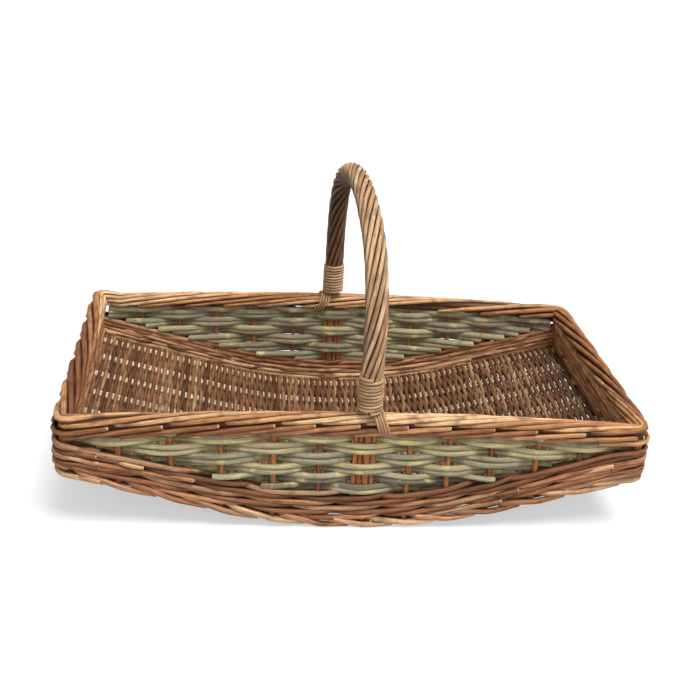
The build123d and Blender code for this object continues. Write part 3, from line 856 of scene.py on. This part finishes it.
# Foot: short strokes round the bottom edge
def addFoot():
    foot = {
        "rod": {"thick": 6.7, "thin": 5.6, "wander": 0.5, "cutBack": 1.6},
        "swing": 5.6, "upper": 9.4, "lower": 3.3,
        "shape": ((0.26, 1.0, 0.95), (0.75, 1.0, 0.42), (1.1, 1.05, 0.04), (1.75, 0.75, 0.0)),
        "beginAfter": 3.2, "beginOut": -1.5, "beginLift": 0.6, "perSpan": 10, "seed": 41,
    }
    inner = {
        "out": -3.2, "height": 5.4, "shadeToneSpread": 0.1, "parts": 4, "partRun": 0.255, "steps": 120,
        "rod": {"thick": 6.6, "thin": 6.6, "wander": 0.3, "cutBack": 1.6},
    }
    chance = random.Random(foot["seed"])
    rods = []
    upper, lower = foot["upper"], foot["lower"]
    for i, (s, half, _) in enumerate(uprights):
        begin = s + half + foot["beginAfter"]
        stations = [(begin, foot["beginOut"], groundLine(begin) + upper + foot["beginLift"])]
        for runShare, outShare, heightShare in foot["shape"]:
            whole = int(runShare)
            base = uprightPlace(i + whole) if whole else begin
            place = base + (runShare - whole) * (uprightPlace(i + whole + 1) - base)
            z = groundLine(place) + lower + heightShare * (upper - lower)
            stations.append((place, foot["swing"] * outShare, z))
        path = [wallPoint(*spot) for spot in smoothPath(stations, foot["perSpan"])]
        rods.append(wallRod(path, foot["rod"], chance))
    # The strokes' beginnings lie behind the stakes, kept to the foot's darkest tones as painted shade seen
    # through its gaps
    for part in range(inner["parts"]):
        begin, run = around * part / inner["parts"], around * inner["partRun"]
        path = levelPath(begin, run, inner["steps"], inner["out"], inner["height"])
        tone, seed = chance.random() * inner["shadeToneSpread"], chance.random() * rodInfo["seedRange"]
        rods.append(partRod(path, inner["rod"], tone, seed, hubs=inWall(path)))
    makeRods("foot", rods, "foot", roundNodes("foot"), "brown_willow", knotSpacing=64)


addFoot()


# Base: fine rods across the floor, over and under pairs of pale sticks
def addBase():
    base = {
        "halfX": 283, "halfY": 157, "level": 12.2, "stick": 5.0, "stickApart": 3.0,
        "stickRows": (-0.918, -0.612, -0.306, 0, 0.306, 0.612, 0.918), "stickWander": 0.3,
        "stickStep": 6, "weaver": 4.85, "weaverSpread": (0.9, 1.06), "weaverWander": 0.5,
        "pitch": 3.5, "flatness": 0.66, "inset": 2, "perSpan": 8, "finestSteps": 2000, "seed": 53,
    }
    chance = random.Random(base["seed"])
    rowY = [share * base["halfY"] for share in base["stickRows"]]

    # Evenly spaced places along the belly, each with the slope there
    def floorLine(halfX, step):
        steps = base["finestSteps"]
        xs = [halfX * (2 * i / steps - 1) for i in range(steps + 1)]
        heights = [belly(x) + base["level"] for x in xs]
        runs = [0.0]
        for i in range(steps):
            runs.append(runs[-1] + math.hypot(xs[i + 1] - xs[i], heights[i + 1] - heights[i]))
        count = round(runs[-1] / step)
        spots = []
        k = 0
        for i in range(count + 1):
            while k < steps - 1 and runs[k + 1] < runs[-1] * i / count:
                k += 1
            slope = math.atan2(heights[k + 1] - heights[k], xs[k + 1] - xs[k])
            spots.append((xs[k], heights[k], slope))
        return spots

    line = floorLine(base["halfX"], base["stickStep"])
    for number, y in enumerate(rowY, 1):
        rods = []
        for offset in (-base["stickApart"], base["stickApart"]):
            path = [Vector((x, y + offset, z)) for x, z, _ in line]
            rods.append(evenRod(path, base["stick"], base["stickWander"], chance))
        name = f"baseSticks{number}"
        makeRods(name, rods, "baseStick", [f"base_stick_pair_{number}"], "pale_sticks", sides=8)
    rods = []
    swing = (base["stick"] + base["weaver"]) / 2 * base["flatness"]
    line = floorLine(base["halfX"] - base["inset"], base["pitch"])
    for i, (x, z, slope) in enumerate(line):
        stations = [(-base["halfY"], 0, 0)]
        for row, y in enumerate(rowY):
            stations.append((y, 0, swing if (i + row) % 2 else -swing))
        stations.append((base["halfY"], 0, 0))
        path = []
        for y, _, lift in smoothPath(stations, base["perSpan"]):
            path.append(Vector((x - math.sin(slope) * lift, y, z + math.cos(slope) * lift)))
        weaver = base["weaver"] * chance.uniform(*base["weaverSpread"])
        rods.append(evenRod(path, weaver, base["weaverWander"], chance))
    makeRods("baseWeave", rods, "baseWeave", ["base_weave"], "dark_weave", sides=6, knotSwell=0.0)


addBase()


# Handle: a hoop of straight legs, haunches and a crown, with rods twisted round a bow
rimTop = rimLine(handlePlace["front"]) + basket["rimRadius"]


def buildHoop():
    hoop = {"foot": rimTop + 3, "top": 315.5, "legShare": 0.417, "haunchShare": 0.873}
    front, rear = (wallPoint(handlePlace[side], 0, 0) for side in ("front", "rear"))
    hoop["middle"] = (front + rear) / 2
    hoop["across"] = (rear - front).normalized()
    hoop["half"] = (rear - front).length / 2
    hoop["spring"] = rimTop + (hoop["top"] - rimTop) * hoop["legShare"]
    rise = hoop["top"] - hoop["spring"]
    hoop["haunch"] = rise * hoop["haunchShare"]
    half, haunch = hoop["half"], hoop["haunch"]
    hoop["crown"] = (half**2 + rise**2 - 2 * half * haunch) / (2 * (rise - haunch))
    hoop["crownDrop"] = hoop["crown"] - rise
    hoop["turn"] = math.atan2(hoop["crownDrop"], half - haunch)
    leg = hoop["spring"] - hoop["foot"] + hoop["turn"] * haunch
    hoop["length"] = 2 * leg + (math.pi - 2 * hoop["turn"]) * hoop["crown"]
    return hoop


hoop = buildHoop()


# Centre, direction and outward normal of the hoop at a distance along it
def hoopAt(travel):
    foot, half, spring, haunch = hoop["foot"], hoop["half"], hoop["spring"], hoop["haunch"]
    turn, crown = hoop["turn"], hoop["crown"]
    stretches = (
        (spring - foot, 0, None, (-half, foot)),
        (turn * haunch, 0, haunch, (haunch - half, spring)),
        ((math.pi - 2 * turn) * crown, turn, crown, (0, spring - hoop["crownDrop"])),
        (turn * haunch, math.pi - turn, haunch, (half - haunch, spring)),
        (spring - foot, math.pi, None, (half, spring)),
    )
    for number, (run, angle, radius, centre) in enumerate(stretches, 1):
        if travel <= run or number == len(stretches):
            break
        travel -= run
    if radius:
        angle += travel / radius
    across = hoop["across"]
    outward = across * -math.cos(angle) + Vector((0, 0, math.sin(angle)))
    along = across * math.sin(angle) + Vector((0, 0, math.cos(angle)))
    middle = hoop["middle"] + across * centre[0] + Vector((0, 0, centre[1]))
    return middle + (outward * radius if radius else along * travel), along, outward


def addHandle():
    handle = {
        "strands": 10, "strand": 4.75, "strandWander": 0.35, "radius": 9.0, "pitch": 219,
        "neck": 36, "neckSqueeze": 1.1, "innerShade": 0.8, "innerShadeFrom": 0.5,
        "bow": 11.8, "bowShadeTone": 0.66, "seed": 61,
    }
    ropingLook = {"sides": 12, "knotSpacing": 95, "knotSwell": 0.03, "uneven": 0.03}
    bowLook = {"sides": 12, "knotSwell": 0.0, "uneven": 0.0}
    chance = random.Random(handle["seed"])
    total = hoop["length"]
    travels = [travel for travel, _ in evenSteps(0, total, int(total / rodInfo["pointStep"]))]
    spots = [hoopAt(travel) for travel in travels]
    bow = [centre for centre, _, _ in spots]
    rods = []
    for number in range(handle["strands"]):
        path, stains = [], []
        for travel, (centre, along, outward) in zip(travels, spots):
            side = along.cross(outward)
            angle = 2 * math.pi * (number / handle["strands"] + travel / handle["pitch"])
            nearEnd = min(travel, total - travel)
            squeeze = handle["neckSqueeze"] * max(1 - nearEnd / handle["neck"], 0)
            radius = handle["radius"] - squeeze
            path.append(centre + (outward * math.cos(angle) + side * math.sin(angle)) * radius)
            # Painted shade on the side that faces into the hoop
            darkness = min(max(handle["innerShadeFrom"] - math.cos(angle), 0), 1)
            stains.append(handle["innerShade"] * darkness)
        strand, wander = handle["strand"], handle["strandWander"]
        rods.append(evenRod(path, strand, wander, chance, hubs=bow, stains=stains))
    makeRods("handleRoping", rods, "handle", ["handle_roping"], "handle_willow", **ropingLook)

    # The bow shows only in the grooves between the strands; its dark tone and full painted shade stand in for
    # the shade there
    thick, tone, stains = handle["bow"], handle["bowShadeTone"], [handle["innerShade"]] * len(bow)
    core = [rodFrom(bow, thick, thick, tone, 0.0, 0.0, stains=stains)]
    makeRods("handleBow", core, "stake", ["handle_bow"], "handle_willow", **bowLook)


addHandle()


# Cane lapping round each leg and the tie over the border
def addLappings():
    lap = {"cane": 3.2, "pitch": 3.55, "turns": 10, "radius": 11.2, "low": rimTop + 3.6, "wander": 0.25}
    tie = {
        "cane": 2.8, "pitch": 3.1, "turns": 4, "radius": 12.3, "begin": 0.25, "start": 7.0, "slant": 8,
        "wander": 0.2,
    }
    cane = {"perTurn": 24, "seed": 71}
    look = {"sides": 8, "knotSwell": 0.0}
    chance = random.Random(cane["seed"])

    # The turns done at each step of a winding
    def turnsOf(part):
        return [i / cane["perTurn"] for i in range(part["turns"] * cane["perTurn"] + 1)]

    for side in ("front", "rear"):
        leg = handlePlace[side]
        path = []
        for turns in turnsOf(lap):
            angle = 2 * math.pi * turns
            across, out = lap["radius"] * math.sin(angle), lap["radius"] * math.cos(angle)
            path.append(wallPoint(leg + across, out, lap["low"] + lap["pitch"] * turns))
        rod = evenRod(path, lap["cane"], lap["wander"], chance)
        makeRods(f"{side}Lapping", [rod], "cane", [f"{side}_lapping"], "cane", **look)
        path = []
        for turns in turnsOf(tie):
            angle = 2 * math.pi * (turns - tie["begin"])
            out, lift = tie["radius"] * math.sin(angle), tie["radius"] * math.cos(angle)
            slant = tie["slant"] / 2 * math.cos(angle)
            s = leg + tie["start"] + tie["pitch"] * turns - slant
            path.append(wallPoint(s, out, rimLine(s) + lift))
        rod = evenRod(path, tie["cane"], tie["wander"], chance)
        makeRods(f"{side}Tie", [rod], "cane", [f"{side}_tie"], "cane", **look)


addLappings()


# Stage and light
def addStage():
    stage = {
        "size": 24, "floor": 0.48, "floorRough": 0.9, "floorGlow": 0.52, "surround": 0.4,
        "lamps": {
            "key": {"place": (0.5, -0.5, 1.9), "spread": 34, "strength": 3.3},
            "fill": {"place": (0.2, -1.6, 0.7), "spread": 60, "strength": 0.7},
        },
    }
    bpy.ops.mesh.primitive_plane_add(size=stage["size"])
    floor = bpy.context.object
    floor.name = "floor"
    material = bpy.data.materials.new("floorPale")
    material.use_nodes = True
    tree = material.node_tree
    shader = tree.nodes["Principled BSDF"]
    grey = stage["floor"]
    shader.inputs["Base Color"].default_value = (grey, grey, grey, 1)
    shader.inputs["Roughness"].default_value = stage["floorRough"]
    shader.inputs["Specular IOR Level"].default_value = 0.0
    seen = addNode(tree, "ShaderNodeLightPath").outputs["Is Camera Ray"]
    strength = mathNode(tree, "MULTIPLY", seen, stage["floorGlow"])
    glow = addNode(tree, "ShaderNodeEmission", {"Strength": strength})
    both = addNode(tree, "ShaderNodeAddShader", {0: shader.outputs[0], 1: glow.outputs[0]})
    tree.links.new(both.outputs[0], tree.nodes["Material Output"].inputs["Surface"])
    floor.data.materials.append(material)

    # White as the camera sees it, dimmer as a light
    world = bpy.data.worlds.new("studio")
    bpy.context.scene.world = world
    world.use_nodes = True
    tree = world.node_tree
    seen = addNode(tree, "ShaderNodeLightPath").outputs["Is Camera Ray"]
    dimmed = mathNode(tree, "MULTIPLY", seen, 1 - stage["surround"])
    strength = mathNode(tree, "ADD", dimmed, stage["surround"])
    background = tree.nodes["Background"]
    background.inputs["Color"].default_value = (1, 1, 1, 1)
    tree.links.new(strength, background.inputs["Strength"])
    for name, look in stage["lamps"].items():
        data = bpy.data.lights.new(name, "SUN")
        data.angle = math.radians(look["spread"])
        data.energy = look["strength"]
        lamp = addObject(name, data)
        lamp.location = look["place"]
        lamp.rotation_euler = (-Vector(look["place"])).to_track_quat("-Z", "Y").to_euler()


addStage()
addCamera()
bpy.context.scene.view_settings.view_transform = "Standard"
print("stage and camera ready")
